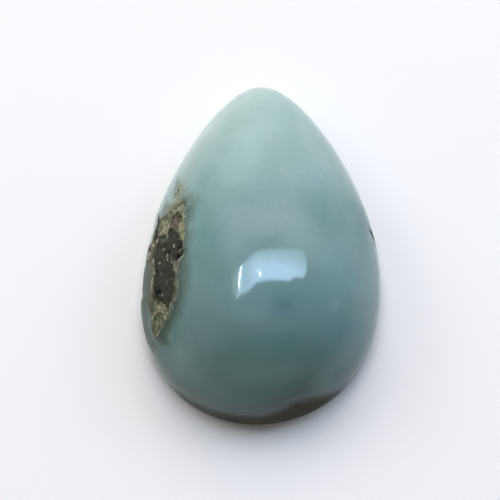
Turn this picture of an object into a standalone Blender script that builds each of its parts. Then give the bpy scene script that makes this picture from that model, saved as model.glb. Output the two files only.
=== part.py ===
"""Larimar cabochon: a pear-shaped, high-domed gem of blue pectolite with a patch of dark host rock.

The stone is one solid. Its long axis runs along Y with the narrow end at +Y, its flat back lies on
Z = 0, and the origin is at the bottom centre of its bounding box.
"""

import math

import bmesh
import bpy
from mathutils import Vector, noise

MM = 0.001

# Outline, seen from above
LENGTH = 25.0 * MM
WIDTH = 17.4 * MM
NARROWING = 0.275  # how much slimmer the outline gets from its middle to the narrow end
TIP_PINCH = 0.038  # the further slimming that gathers at the narrow end
ENDS_PINCH = 0.05  # slimming towards both ends
LEAN = 0.17 * MM  # sideways drift of the hand-cut mid-line along the stone
BOW = 0.17 * MM  # sideways bow of the mid-line at both ends

# Dome, girdle and back
HEIGHT = 8.5 * MM
GIRDLE_TOP = 1.2 * MM  # the dome starts at this height
BACK_BEVEL = 0.45 * MM  # chamfer between the girdle wall and the flat back
APEX_SHIFT = 0.22  # moves the highest point towards the wide end

# Facets
AROUND = 84
RINGS_TO_TOP = 17
FINER_WITHIN = (0.9 * MM, 0.45 * MM)  # facets this close to the relief are halved, once for each value
CURVE_STEPS = 720  # steps in which a curve's extremes are looked for
BELOW_RIM = -1e-4  # height on the unit sphere under which its lower half starts
SHARP_ANGLE = math.radians(30.0)

# The host rock on the left flank, as (place along the stone, height above the back) in millimetres
ROCK_OUTLINE = (
    (2.8, 5.2), (2.4, 6.0), (0.8, 6.6), (-1.5, 6.8), (-2.9, 6.6), (-4.3, 6.5), (-5.2, 6.0),
    (-6.1, 5.1), (-7.0, 3.9), (-5.9, 3.8), (-3.9, 3.8), (-1.4, 3.7), (-0.9, 2.2), (0.7, 2.1),
    (1.8, 3.0), (2.2, 4.2),
)
CORE_OUTLINE = (
    (2.4, 5.4), (1.6, 6.0), (0.7, 6.0), (-0.3, 6.6), (-1.2, 6.7), (-1.9, 6.4), (-3.9, 6.3),
    (-4.8, 6.0), (-4.5, 5.0), (-3.8, 4.4), (-1.6, 4.3), (-0.1, 4.2), (0.8, 5.3), (1.8, 5.0),
)
SPECK_OUTLINE = ((4.3, 5.0), (3.4, 5.2), (2.7, 5.0), (3.4, 4.5))

# The band under the rock, ground a little flatter, in millimetres
WORN_START = -3.9
WORN_END = 2.6
WORN_TOP = 4.0

# Depths below the polished surface
ROCK_DEPTH = 0.10 * MM
CORE_DEPTH = 0.12 * MM
WORN_DEPTH = 0.12 * MM
ROUGHNESS = 0.05 * MM
LUMP_SIZE = 0.9 * MM
LUMP_LAYERS = 2
LUMP_FALLOFF = 0.8  # how fast the finer layers of lumps get shallower
LUMP_STEP = 2.0  # how much finer each layer is than the one before
EDGE_WOBBLE = 0.22 * MM
LEDGE = 0.22 * MM  # width of the step at a broken edge
WORN_FADE = 1.2 * MM  # width of the soft end of the worn band

# Pits as (place along the stone, height above the back, radius, depth) in millimetres
PITS = (
    (2.2, 5.5, 0.40, 0.30), (1.5, 5.8, 0.32, 0.26), (-0.6, 6.4, 0.42, 0.28), (-1.3, 6.6, 0.34, 0.26),
    (-0.3, 5.2, 0.36, 0.30), (-1.0, 5.6, 0.34, 0.28), (0.5, 3.4, 0.36, 0.34), (-3.7, 4.8, 0.50, 0.30),
    (-4.4, 5.2, 0.38, 0.24), (-2.4, 5.6, 0.30, 0.16), (3.2, 4.9, 0.30, 0.22), (-5.6, 4.7, 0.34, 0.20),
)

# The rough spot on the rim of the wide end, as (place across the stone, height) in millimetres
RIM_SPOT_OUTLINE = (
    (1.3, 2.6), (2.0, 4.1), (2.6, 4.2), (4.0, 3.1), (5.2, 2.2), (5.6, 1.8), (3.6, 1.6), (1.8, 1.8),
)
RIM_SPOT_DEPTH = 0.14 * MM

# The thin seam of rock on the right edge, as (place along the stone, height) in millimetres
SEAM_OUTLINE = ((1.8, 3.4), (1.3, 3.4), (0.1, 2.1), (0.6, 2.0))
SEAM_DEPTH = 0.10 * MM

# Surface looks
STONE_COLOUR = (0.22, 0.34, 0.34, 1.0)
POLISH_ROUGHNESS = 0.12


def taper(along):
    """Relative width at a place from -1 at the wide end to 1 at the narrow end."""
    return 1.0 - NARROWING * along - ENDS_PINCH * along**2 - TIP_PINCH * along**3


def height_share(along):
    """Relative height of the dome's ridge at that place, before its round fall to the ends."""
    return 1.0 - APEX_SHIFT * along


def highest(curve):
    """The greatest value of a curve that falls to nothing at both ends of the stone."""
    places = [2.0 * step / CURVE_STEPS - 1.0 for step in range(CURVE_STEPS + 1)]
    return max(math.sqrt(1.0 - place**2) * curve(place) for place in places)


WIDEST = highest(taper)
TALLEST = highest(height_share)


def on_outline(across, along):
    """A plan point for a point of the unit disc."""
    x = 0.5 * WIDTH * across * taper(along) / WIDEST + LEAN * along - BOW * along**2
    return x, 0.5 * LENGTH * along


def on_dome(unit):
    """The polished surface's point for a point of the unit half sphere."""
    x, y = on_outline(unit.x, unit.y)
    z = GIRDLE_TOP + (HEIGHT - GIRDLE_TOP) * unit.z * height_share(unit.y) / TALLEST
    return Vector((x, y, z))


def smooth_step(value, width):
    """0 below zero, 1 above width, and a smooth rise between them."""
    share = min(max(value / width, 0.0), 1.0)
    return share * share * (3.0 - 2.0 * share)


def depth_inside(outline, y, z):
    """Distance from a point to the outline's nearest side, negative outside it."""
    nearest = math.inf
    inside = False
    for start, end in zip(outline, outline[1:] + outline[:1]):
        start_y, start_z = start[0] * MM, start[1] * MM
        run_y, run_z = end[0] * MM - start_y, end[1] * MM - start_z
        share = ((y - start_y) * run_y + (z - start_z) * run_z) / (run_y**2 + run_z**2)
        share = min(max(share, 0.0), 1.0)
        gap = math.hypot(y - start_y - share * run_y, z - start_z - share * run_z)
        nearest = min(nearest, gap)
        if (start_z > z) != (start_z + run_z > z):
            if y < start_y + run_y * (z - start_z) / run_z:
                inside = not inside
    return nearest if inside else -nearest


def rough(point):
    """Lumpy noise of the broken rock, from about -1 to 1."""
    return noise.fractal(point / LUMP_SIZE, LUMP_FALLOFF, LUMP_STEP, LUMP_LAYERS)


def pit_depth(y, z):
    """How deep the pits cut at a place on the left flank."""
    depth = 0.0
    for pit_y, pit_z, radius, deepest in PITS:
        reach = math.hypot(y - pit_y * MM, z - pit_z * MM) / (radius * MM)
        if reach < 1.0:
            depth = max(depth, deepest * MM * (1.0 - reach**2))
    return depth


def worn_share(y, z):
    """How much of the worn band's depth a place on the left flank has."""
    start = smooth_step(y - WORN_START * MM, LEDGE)
    end = smooth_step(WORN_END * MM - y, WORN_FADE)
    return start * end * smooth_step(WORN_TOP * MM - z, LEDGE)


def flank_relief(point):
    """Depth of the rock patch, its core, its pits and the worn band on the left flank."""
    wobble = EDGE_WOBBLE * rough(point + Vector((0.0, 0.0, WIDTH)))
    y, z = point.y, point.z
    rock = smooth_step(depth_inside(ROCK_OUTLINE, y, z) + wobble, LEDGE)
    core = smooth_step(depth_inside(CORE_OUTLINE, y, z) + wobble, LEDGE)
    speck = smooth_step(depth_inside(SPECK_OUTLINE, y, z) + wobble, LEDGE)
    broken = max(rock, speck)
    level = max(ROCK_DEPTH * broken, WORN_DEPTH * worn_share(y, z)) + CORE_DEPTH * core
    return level + broken * (ROUGHNESS * rough(point) + pit_depth(y, z))


def rim_relief(point):
    """Depth of the rough spot on the wide end's rim and of the seam on the right edge."""
    wobble = EDGE_WOBBLE * rough(point)
    seam = smooth_step(depth_inside(SEAM_OUTLINE, point.y, point.z) + wobble, LEDGE)
    spot = smooth_step(depth_inside(RIM_SPOT_OUTLINE, point.x, point.z) + wobble, LEDGE)
    deepest = SEAM_DEPTH * seam if point.y > 0.0 else RIM_SPOT_DEPTH * spot
    return deepest * (1.0 + rough(point))


def relief(point):
    """Depth below the polished surface at a point of the dome or girdle."""
    return max(flank_relief(point) if point.x < 0.0 else rim_relief(point), 0.0)


def near_relief(face, reach):
    """Whether a face of the unit half sphere comes this close to any of the relief."""
    point = on_dome(face.calc_center_median().normalized())
    if point.x < 0.0:
        worn = worn_share(point.y + reach, point.z) + worn_share(point.y - reach, point.z)
        outlines = (ROCK_OUTLINE, SPECK_OUTLINE)
        return worn > 0.0 or any(depth_inside(line, point.y, point.z) > -reach for line in outlines)
    if point.y > 0.0:
        return depth_inside(SEAM_OUTLINE, point.y, point.z) > -reach
    return depth_inside(RIM_SPOT_OUTLINE, point.x, point.z) > -reach


def half_sphere():
    """Unit half sphere with finer facets where the stone has relief."""
    mesh = bmesh.new()
    bmesh.ops.create_uvsphere(mesh, u_segments=AROUND, v_segments=2 * RINGS_TO_TOP, radius=1.0)
    lower = [vertex for vertex in mesh.verts if vertex.co.z < BELOW_RIM]
    bmesh.ops.delete(mesh, geom=lower, context="VERTS")
    for reach in FINER_WITHIN:
        edges = {edge for face in mesh.faces if near_relief(face, reach) for edge in face.edges}
        bmesh.ops.subdivide_edges(mesh, edges=list(edges), cuts=1, use_grid_fill=True)
        for vertex in mesh.verts:
            vertex.co.normalize()
    return mesh


def add_back(mesh):
    """Extrudes the rim into the girdle wall and the back bevel, and closes the flat back."""
    rim = [edge for edge in mesh.edges if edge.is_boundary]
    for height, inset in ((BACK_BEVEL, 0.0), (0.0, BACK_BEVEL)):
        made = bmesh.ops.extrude_edge_only(mesh, edges=rim)["geom"]
        rim = [item for item in made if isinstance(item, bmesh.types.BMEdge)]
        for vertex in {vertex for edge in rim for vertex in edge.verts}:
            inwards = Vector((vertex.co.x, vertex.co.y, 0.0)).normalized() * inset
            vertex.co = Vector((vertex.co.x - inwards.x, vertex.co.y - inwards.y, height))
    bmesh.ops.holes_fill(mesh, edges=rim, sides=0)


def centre_in_plan():
    """The middle of the polished outline's bounding box."""
    turn = [math.tau * step / CURVE_STEPS for step in range(CURVE_STEPS)]
    sides = [on_outline(math.sin(angle), math.cos(angle))[0] for angle in turn]
    return Vector((0.5 * (max(sides) + min(sides)), 0.0, 0.0))


def stone_mesh():
    """The cabochon as one closed body."""
    mesh = half_sphere()
    for vertex in mesh.verts:
        vertex.co = on_dome(vertex.co)
    mesh.normal_update()
    depths = [relief(vertex.co) for vertex in mesh.verts]
    normals = [vertex.normal.copy() for vertex in mesh.verts]
    for vertex, normal, depth in zip(mesh.verts, normals, depths):
        if vertex.is_boundary:
            normal = Vector((normal.x, normal.y, 0.0)).normalized()
        vertex.co -= normal * depth
    add_back(mesh)
    bmesh.ops.translate(mesh, verts=mesh.verts, vec=-centre_in_plan())
    bmesh.ops.recalc_face_normals(mesh, faces=mesh.faces)
    return mesh


def stone_material():
    """Polished blue-green pectolite."""
    material = bpy.data.materials.new("larimar")
    material.use_nodes = True
    shader = material.node_tree.nodes["Principled BSDF"]
    shader.inputs["Base Color"].default_value = STONE_COLOUR
    shader.inputs["Roughness"].default_value = POLISH_ROUGHNESS
    shader.inputs["Metallic"].default_value = 0.0
    return material


def clear_scene():
    """Removes whatever the scene holds."""
    for item in list(bpy.data.objects):
        bpy.data.objects.remove(item)


def main():
    clear_scene()
    collection = bpy.data.collections.new("larimar_cabochon")
    bpy.context.scene.collection.children.link(collection)
    data = bpy.data.meshes.new("larimar_cabochon")
    mesh = stone_mesh()
    mesh.to_mesh(data)
    mesh.free()
    data.shade_smooth()
    data.set_sharp_from_angle(angle=SHARP_ANGLE)
    data.materials.append(stone_material())
    collection.objects.link(bpy.data.objects.new("larimar_cabochon", data))


main()
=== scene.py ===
"""Larimar cabochon: the finished look of the polished stone and of the host rock in its flank.

Lengths are in millimetres until a mesh is made. Y runs along the stone towards its narrow end, Z is up,
and a place on the left flank is given as (place along the stone, height above the back).
"""

import math

import bpy
import numpy as np
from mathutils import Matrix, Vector, noise


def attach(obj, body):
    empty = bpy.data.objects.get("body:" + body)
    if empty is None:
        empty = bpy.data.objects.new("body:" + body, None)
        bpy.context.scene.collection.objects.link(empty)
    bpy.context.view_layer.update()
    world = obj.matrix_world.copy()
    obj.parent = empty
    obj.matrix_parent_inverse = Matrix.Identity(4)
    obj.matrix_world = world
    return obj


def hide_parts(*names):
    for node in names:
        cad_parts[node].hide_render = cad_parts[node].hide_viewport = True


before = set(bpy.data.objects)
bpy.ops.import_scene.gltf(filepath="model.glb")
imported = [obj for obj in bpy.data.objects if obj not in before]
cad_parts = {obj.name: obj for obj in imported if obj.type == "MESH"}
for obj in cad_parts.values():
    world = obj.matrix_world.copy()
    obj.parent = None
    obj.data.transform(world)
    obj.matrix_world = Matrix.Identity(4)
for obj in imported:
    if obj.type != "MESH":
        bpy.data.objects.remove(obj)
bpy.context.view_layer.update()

MM = 0.001

# Outline, dome, girdle and back, as in the solid
LENGTH = 25.0
WIDTH = 17.4
NARROWING = 0.275
TIP_PINCH = 0.038
ENDS_PINCH = 0.05
LEAN = 0.17
BOW = 0.173
HEIGHT = 8.5
GIRDLE_TOP = 1.2
BACK_BEVEL = 0.45
APEX_SHIFT = 0.22
CURVE_STEPS = 720

# Grid of the fine surface: azimuths from +X and elevations on the unit half sphere, in degrees
PLAIN_COLUMN = 1.5
FINE_COLUMNS = ((4.5, 4.5, 0.45), (190.0, 47.0, 0.40), (295.0, 17.0, 0.5))  # (middle, reach to each side, step)
PLAIN_ROW = 1.5
FINE_ROWS = ((0.0, 58.0, 0.38),)
GRADING_FADE = 8.0
GRADING_STEPS = 20000
WALL_ROWS = 4

# The host rock on the left flank: the solid's outlines, drawn finer
ROCK_OUTLINE = (
    (2.77, 5.17), (2.57, 5.8), (2.1, 6.08), (1.15, 6.39), (0.15, 6.58), (-0.63, 6.64), (-1.49, 6.81),
    (-1.85, 6.65), (-2.41, 6.65), (-2.57, 6.49), (-3.41, 6.49), (-4.16, 6.4), (-4.69, 6.25), (-5.1, 6.01),
    (-5.63, 5.8), (-5.91, 5.42), (-6.52, 4.68), (-6.77, 4.06), (-6.49, 3.55), (-5.71, 3.93), (-4.88, 4.04),
    (-4.21, 4.09), (-3.88, 4.24), (-2.96, 4.36), (-1.99, 4.35), (-1.54, 4.05), (-1.02, 2.63), (0.1, 1.95),
    (0.43, 3.06), (1.02, 3.03), (1.82, 3.34), (1.93, 4.04), (2.21, 4.9), (2.54, 5.11),
)
CORE_OUTLINE = (
    (2.1, 5.36), (2.1, 5.52), (1.93, 5.76), (1.65, 5.94), (1.29, 6.04), (1.21, 5.93), (0.68, 5.99),
    (0.26, 6.21), (-0.18, 6.44), (-0.51, 6.58), (-0.99, 6.72), (-1.35, 6.75), (-1.71, 6.58), (-1.77, 6.21),
    (-2.35, 6.29), (-2.63, 6.44), (-3.49, 6.35), (-3.88, 6.31), (-4.49, 6.27), (-4.69, 6.05), (-5.16, 5.84),
    (-5.08, 5.68), (-4.77, 5.53), (-4.49, 5.12), (-4.35, 4.7), (-4.1, 4.46), (-3.68, 4.45), (-3.16, 4.56),
    (-2.49, 4.63), (-1.96, 4.63), (-1.27, 4.41), (-0.74, 4.0), (-0.26, 4.3), (0.13, 4.46), (0.46, 4.37),
    (0.46, 4.89), (0.46, 5.32), (0.82, 5.39), (1.15, 5.35), (1.54, 5.19), (1.82, 5.24),
)
SPECK_OUTLINE = ((4.3, 4.6), (4.2, 5.0), (3.4, 5.3), (2.7, 5.0), (3.4, 4.6))
WORN_START = -3.9
WORN_END = 2.6
WORN_TOP = 4.0
ROCK_DEPTH = 0.10
CORE_DEPTH = 0.12
WORN_DEPTH = 0.12
ROUGHNESS = 0.05
LUMP_SIZE = 0.9
LUMP_LAYERS = 2
LUMP_FALLOFF = 0.8
LUMP_STEP = 2.0
EDGE_WOBBLE = 0.22
LEDGE = 0.22
WORN_START_FADE = 0.6
WORN_FADE = 1.2
PITS = (
    (2.2, 5.5, 0.40, 0.30), (1.5, 5.8, 0.32, 0.26), (-0.6, 6.4, 0.42, 0.28), (-1.3, 6.6, 0.34, 0.26),
    (-0.3, 5.2, 0.36, 0.30), (-1.0, 5.6, 0.34, 0.28), (0.5, 3.4, 0.36, 0.34), (-3.7, 4.8, 0.50, 0.30),
    (-4.4, 5.2, 0.38, 0.24), (-2.4, 5.6, 0.30, 0.16), (3.2, 4.9, 0.30, 0.22), (-5.6, 4.7, 0.34, 0.20),
)

# The rough spot on the wide end's rim, as (place across the stone, height), and the seam on the right edge
RIM_SPOT_OUTLINE = (
    (1.3, 2.6), (2.0, 4.1), (2.6, 4.2), (4.0, 3.1), (5.2, 2.2), (5.6, 1.8), (3.6, 1.6), (1.8, 1.8),
)
RIM_SPOT_DEPTH = 0.12
SEAM_OUTLINE = ((1.8, 3.4), (1.3, 3.4), (0.1, 2.1), (0.6, 2.0))
SEAM_DEPTH = 0.10
SEAM_SLIVER = (
    (1.4, 3.2), (1.15, 3.4), (0.85, 3.1), (0.45, 2.6), (0.2, 2.2), (0.3, 1.95), (0.6, 2.0), (0.95, 2.3), (1.25, 2.7),
)
RIM_SPOT_EDGE = 1.3

# Fine relief of the host rock
GRAIN_SIZE = 0.28
GRAIN_LAYERS = 3
GRAIN_DEPTH = 0.030
CORE_SMOOTHNESS = 0.6  # how much calmer the core's surface is than the crust's
FINE_WOBBLE = 0.10
FINE_WOBBLE_SIZE = 0.30
MARK_WOBBLE = 0.35  # how ragged a mark's edge is, as a share of its size
MARK_WOBBLE_SIZE = 0.16
MARK_EDGE = 0.55
HOLE_DEPTH = 0.20
CREST_HEIGHT = 0.04
SCATTERED_PITS = 26
SCATTERED_FLECKS = 20
SCATTER_SEED = 7

# Marks on the left flank, as (along, height, half length, half width, turn in degrees)
HOLES = (
    (0.44, 4.01, 0.24, 0.14, 67), (3.8, 4.75, 0.10, 0.04, -41), (3.45, 4.98, 0.11, 0.04, -43),
    (2.04, 5.48, 0.15, 0.07, -19), (1.74, 5.3, 0.12, 0.06, -40), (1.59, 5.91, 0.14, 0.05, -20),
    (1.31, 5.97, 0.1, 0.05, -27), (1.31, 5.73, 0.12, 0.07, -19), (0.75, 5.54, 0.1, 0.04, -10),
    (-0.29, 5.16, 0.08, 0.08, -15), (-0.57, 5.25, 0.07, 0.04, -24), (-0.92, 5.64, 0.14, 0.07, -11),
    (-0.54, 6.5, 0.23, 0.11, 11), (-0.7, 6.3, 0.12, 0.09, 11), (-1.28, 6.5, 0.13, 0.06, -2),
    (-1.43, 6.36, 0.2, 0.11, 5), (-2.53, 6.36, 0.07, 0.03, -7), (-2.17, 4.73, 0.13, 0.09, -8),
    (-3.67, 4.81, 0.23, 0.16, 50), (-3.85, 5.1, 0.21, 0.1, 18), (-4.12, 4.77, 0.21, 0.08, -46),
    (-4.34, 5.06, 0.14, 0.06, -56), (-3.74, 4.57, 0.19, 0.07, 6), (-4.63, 5.41, 0.08, 0.05, -49),
    (-5.31, 5.09, 0.12, 0.05, 67), (-5.59, 4.36, 0.09, 0.04, 52), (-5.65, 5.55, 0.08, 0.04, 32),
)
# Pale crystals and veins; on the crystals' raised edges they are partly painted highlights
PALE_MARKS = (
    (3.7, 5.07, 0.2, 0.09, -12), (2.95, 4.99, 0.19, 0.07, 0), (4.17, 4.72, 0.19, 0.03, -67),
    (1.53, 4.46, 0.14, 0.07, -51), (1.38, 4.9, 0.1, 0.06, -53), (0.96, 4.87, 0.14, 0.09, 7),
    (0.74, 4.83, 0.1, 0.06, -32), (0.99, 5.18, 0.19, 0.04, 7), (0.36, 5.26, 0.18, 0.04, -4),
    (0.21, 4.29, 0.14, 0.09, 14), (-0.03, 3.77, 0.23, 0.1, -67), (-0.56, 3.22, 0.25, 0.21, -54),
    (-0.88, 3.18, 0.18, 0.1, -76), (-1.71, 3.88, 0.17, 0.1, -70), (-1.28, 4.27, 0.19, 0.07, -5),
    (-0.53, 6.0, 0.12, 0.05, -16), (-0.93, 6.45, 0.07, 0.03, -1), (-0.57, 5.1, 0.07, 0.06, 24),
    (-1.13, 5.53, 0.12, 0.05, -8), (-1.43, 5.32, 0.07, 0.05, -20), (-1.57, 4.97, 0.09, 0.07, -44),
    (-1.47, 5.69, 0.13, 0.04, -4), (-1.75, 6.03, 0.13, 0.03, -30), (-1.65, 6.69, 0.29, 0.05, 30),
    (-2.46, 6.44, 0.15, 0.03, -86), (-2.59, 6.48, 0.07, 0.04, 5), (-2.91, 6.01, 0.06, 0.03, 14),
    (-2.25, 4.54, 0.13, 0.08, -1), (-2.95, 4.43, 0.49, 0.04, 7), (-3.77, 4.58, 0.07, 0.05, 40),
    (-4.16, 4.74, 0.07, 0.05, 65), (-4.0, 5.32, 0.11, 0.04, 13), (-4.55, 6.35, 0.11, 0.04, 22),
    (-4.73, 6.08, 0.08, 0.03, 23), (-4.98, 5.93, 0.22, 0.03, 18), (-5.08, 6.09, 0.11, 0.03, 26),
    (-3.5, 6.57, 0.36, 0.03, 3), (-4.81, 5.01, 0.15, 0.08, -48), (-4.77, 5.48, 0.07, 0.05, -26),
    (-5.23, 5.23, 0.14, 0.05, -37), (-5.6, 5.36, 0.14, 0.06, 32), (-5.37, 5.61, 0.15, 0.04, 33),
    (-5.16, 4.38, 0.12, 0.06, 39), (-5.37, 4.16, 0.13, 0.06, 62), (-6.02, 4.84, 0.1, 0.04, 60),
    (-6.27, 4.29, 0.13, 0.05, 41), (-6.56, 4.35, 0.31, 0.04, 61), (-5.83, 4.53, 0.16, 0.04, -21),
)
RUST_MARKS = (
    (0.89, 6.24, 0.18, 0.05, -13), (2.17, 5.49, 0.12, 0.05, -50), (1.88, 5.75, 0.15, 0.03, -40),
    (1.07, 5.37, 0.15, 0.05, -15), (1.52, 4.25, 0.15, 0.07, -22), (-0.25, 4.25, 0.3, 0.08, -2),
    (-2.1, 6.43, 0.22, 0.03, 0), (-0.85, 6.53, 0.12, 0.04, -9), (-1.0, 3.93, 0.12, 0.09, 9),
    (-1.27, 2.98, 0.23, 0.17, 41),
)

# A pale and a dark fleck in the brown edge of the wide end, the first two numbers across the stone and up
BAND_PALE_MARKS = ((1.85, 3.5, 0.10, 0.10, 0.0),)
BAND_DARK_MARKS = ((2.3, 3.15, 0.10, 0.14, 0.0),)

# Colours of the blue stone from its wide end to its narrow end, and the places along it where they hold: the stone's
# own tone, with the darker wide end partly painted shade
WIDE_END_TINT = (0.103, 0.182, 0.158)
MIDDLE_TINT = (0.201, 0.318, 0.312)
NARROW_END_TINT = (0.360, 0.494, 0.453)
WIDE_END_PLACE = -11.0
NARROW_END_PLACE = 12.0

# What each kind of soft cloud does to the colour below it, as a share of red, green and blue
CLOUD_TINTS = {
    "milk_and_light": (1.30, 1.28, 1.27),
    "rose_and_light": (1.26, 1.14, 1.17),
    "blue": (0.90, 1.00, 1.14),
    "moss_and_shade": (0.72, 0.84, 0.80),
    "ink_and_shade": (0.68, 0.75, 0.82),
}

# The clouds, as (across, along, half length, half width, turn in degrees, strength): mostly the stone's own mottling,
# but the pale ones along the upper left rim are painted light and the dark ones along the right and lower rims painted
# shade
CLOUDS = {
    "milk_and_light": (
        (-1.5, 5.4, 2.4, 1.5, 70.0, 0.60), (0.4, 7.9, 1.3, 0.8, 0.0, 0.30), (0.0, 3.4, 1.4, 0.8, 0.0, 0.15),
        (-2.9, -11.0, 1.6, 0.8, -20.0, 0.50), (3.5, -1.3, 1.9, 1.3, -45.0, 0.50), (5.1, -5.1, 0.45, 0.35, 60.0, 0.60),
        (-5.4, 8.4, 3.0, 1.0, 60.0, 0.90), (-5.2, -9.0, 1.6, 0.9, -40.0, 0.70), (-1.9, -2.6, 1.0, 0.6, 90.0, 0.30),
        (5.9, -3.6, 1.0, 1.4, 0.0, 0.40), (-0.6, -10.2, 2.4, 0.7, 0.0, 0.45),
        (-1.2, -5.9, 1.8, 0.6, -10.0, 0.28), (2.6, -9.9, 1.2, 0.6, 0.0, 0.40), (-2.0, -0.7, 1.2, 0.8, 20.0, 0.35),
        (2.0, -0.8, 1.2, 0.8, 0.0, 0.25),
    ),
    "rose_and_light": (
        (0.3, 0.7, 3.8, 1.3, 0.0, 0.90), (-3.2, -7.4, 1.4, 0.9, 0.0, 0.35), (2.2, 4.6, 1.0, 1.4, 0.0, 0.20),
        (-4.0, 8.9, 3.6, 0.9, 55.0, 0.95), (-5.7, 6.4, 2.4, 0.8, 65.0, 0.60),
    ),
    "blue": (
        (2.2, -4.9, 5.0, 1.7, 0.0, 0.95), (4.0, 4.2, 1.2, 1.0, 60.0, 0.35), (5.4, -2.6, 1.4, 1.4, 0.0, 0.60),
        (6.6, -6.4, 1.0, 1.3, 0.0, 0.60), (5.3, -10.0, 1.4, 0.9, 40.0, 0.60),
        (5.1, -7.3, 1.6, 1.0, 0.0, 0.60), (-1.6, -11.2, 1.6, 0.7, 0.0, 0.50),
        (0.5, -7.6, 4.0, 0.8, 0.0, 0.40),
    ),
    "moss_and_shade": (
        (-4.1, 0.2, 3.4, 1.3, 92.0, 0.95), (-2.9, -2.6, 1.1, 0.9, 0.0, 0.45), (2.6, -8.6, 2.0, 0.8, 4.0, 0.66),
        (-2.2, -8.6, 1.6, 0.7, 0.0, 0.45), (0.2, -7.7, 1.6, 0.8, 0.0, 0.50), (4.4, 1.4, 0.9, 1.8, 0.0, 0.75),
        (0.6, -0.9, 1.3, 0.5, 4.0, 0.55), (2.2, 7.6, 1.0, 1.6, 20.0, 0.28), (-2.4, 8.3, 0.7, 1.2, -30.0, 0.22),
        (-1.7, 2.7, 1.2, 0.8, 0.0, 0.30), (-4.1, 4.5, 1.6, 0.9, 60.0, 0.40),
        (5.9, 2.3, 1.4, 1.7, 10.0, 0.80), (7.8, 1.0, 1.2, 2.8, 0.0, 1.00), (6.0, -6.8, 1.8, 1.0, 45.0, 0.60),
        (-6.3, -6.6, 1.3, 0.8, 60.0, 0.80), (2.2, 9.6, 1.6, 0.8, -40.0, 0.50), (3.4, 2.0, 0.9, 1.0, 0.0, 0.45),
        (4.9, 7.0, 0.8, 2.0, 30.0, 0.40), (-2.2, -7.2, 0.9, 0.9, 0.0, 0.45),
        (-7.0, -7.8, 1.5, 0.9, 65.0, 0.90), (-3.4, -0.4, 1.0, 1.0, 0.0, 0.30), (5.6, 0.9, 1.0, 0.8, 0.0, 0.50),
        (1.9, -7.6, 1.0, 0.9, 0.0, 0.45), (-1.2, 6.4, 1.4, 0.9, 0.0, 0.22), (6.2, -5.0, 0.8, 1.6, 0.0, 0.40), (-1.3, -8.2, 1.2, 0.6, -30.0, 0.35),
    ),
    "ink_and_shade": ((1.6, -5.3, 1.05, 0.85, 20.0, 0.85), (7.5, 2.0, 0.8, 1.5, 0.0, 0.90), (5.7, -9.6, 1.4, 0.6, 50.0, 0.60)),
}
CLOUD_DRIFT = 0.35
CLOUD_DRIFT_SIZE = 3.0

# The brown edge of the wide end, the rock's own brown deepened by painted shade, as its upper border (place across the
# stone, height) and where it fades out
BAND_BORDER = (
    (-9.0, 2.0), (-4.7, 2.6), (-3.0, 2.7), (-1.5, 2.7), (0.2, 2.95), (1.3, 3.40), (2.0, 3.75), (2.7, 3.85),
    (3.4, 3.75), (4.2, 3.35), (5.2, 2.75), (6.2, 2.1), (9.0, 1.3),
)
BAND_SOFTNESS = 1.6
BAND_WOBBLE = 0.12
BAND_WOBBLE_SIZE = 1.6
BAND_END = -8.8
BAND_END_FADE = 2.8
BAND_LEFT = -1.0  # to the left of this the brown is thinner
BAND_LEFT_FADE = 4.0
BAND_LEFT_SHARE = 0.38

# Painted shade: the stone is darkened just above the brown edge, fainter on the left
SHADE_REACH = 3.2
SHADE_TINT = (0.30, 0.36, 0.39)
SHADE_LEFT = -6.0
SHADE_LEFT_FADE = 5.0
SHADE_LEFT_SHARE = 0.38
SHADE_RIGHT = 2.6
SHADE_RIGHT_FADE = 2.0
SHADE_RIGHT_SHARE = 0.50
SHADE_END = -9.0
SHADE_END_FADE = 5.0

# Colours of the host rock and of the stained stone round it
CHARCOAL = (0.028, 0.028, 0.016)
DARK_BROWN = (0.120, 0.102, 0.072)
SLATE = (0.053, 0.055, 0.036)
# Near-black in the holes and pits: the rock's own dark, deepened by painted shade in the hollows
PIT_BLACK_AND_SHADE = (0.008, 0.008, 0.005)
OLIVE = (0.120, 0.122, 0.066)
DARK_OLIVE = (0.080, 0.090, 0.047)
YELLOW_OLIVE = (0.215, 0.222, 0.124)
TAN = (0.180, 0.172, 0.100)
SPECK_OLIVE = (0.280, 0.305, 0.225)
TIP_OLIVE = (0.240, 0.245, 0.160)
RUBBLE_TAN = (0.165, 0.160, 0.084)
PINK_BEIGE = (0.126, 0.113, 0.076)
TAIL_OLIVE = (0.105, 0.118, 0.064)
BLOCK_TAN = (0.190, 0.160, 0.112)
IVORY = (0.380, 0.385, 0.270)
RUST = (0.150, 0.080, 0.048)
GAP_BROWN = (0.024, 0.023, 0.013)
# The wide end's brown edge: the rock's own brown, darkened further as painted shade
BAND_BROWN = (0.043, 0.041, 0.025)
SEAM_BROWN = (0.016, 0.013, 0.008)
OLIVE_STAIN = (0.175, 0.215, 0.150)
GREY_STAIN = (0.195, 0.220, 0.185)
DARK_GREY_STAIN = (0.060, 0.070, 0.045)
BLUE_GREY_STAIN = (0.078, 0.104, 0.086)
MOTTLED_STAIN = (0.074, 0.094, 0.066)
HALO_STAIN = (0.036, 0.064, 0.036)
BOTTLE_STAIN = (0.034, 0.055, 0.036)

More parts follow.
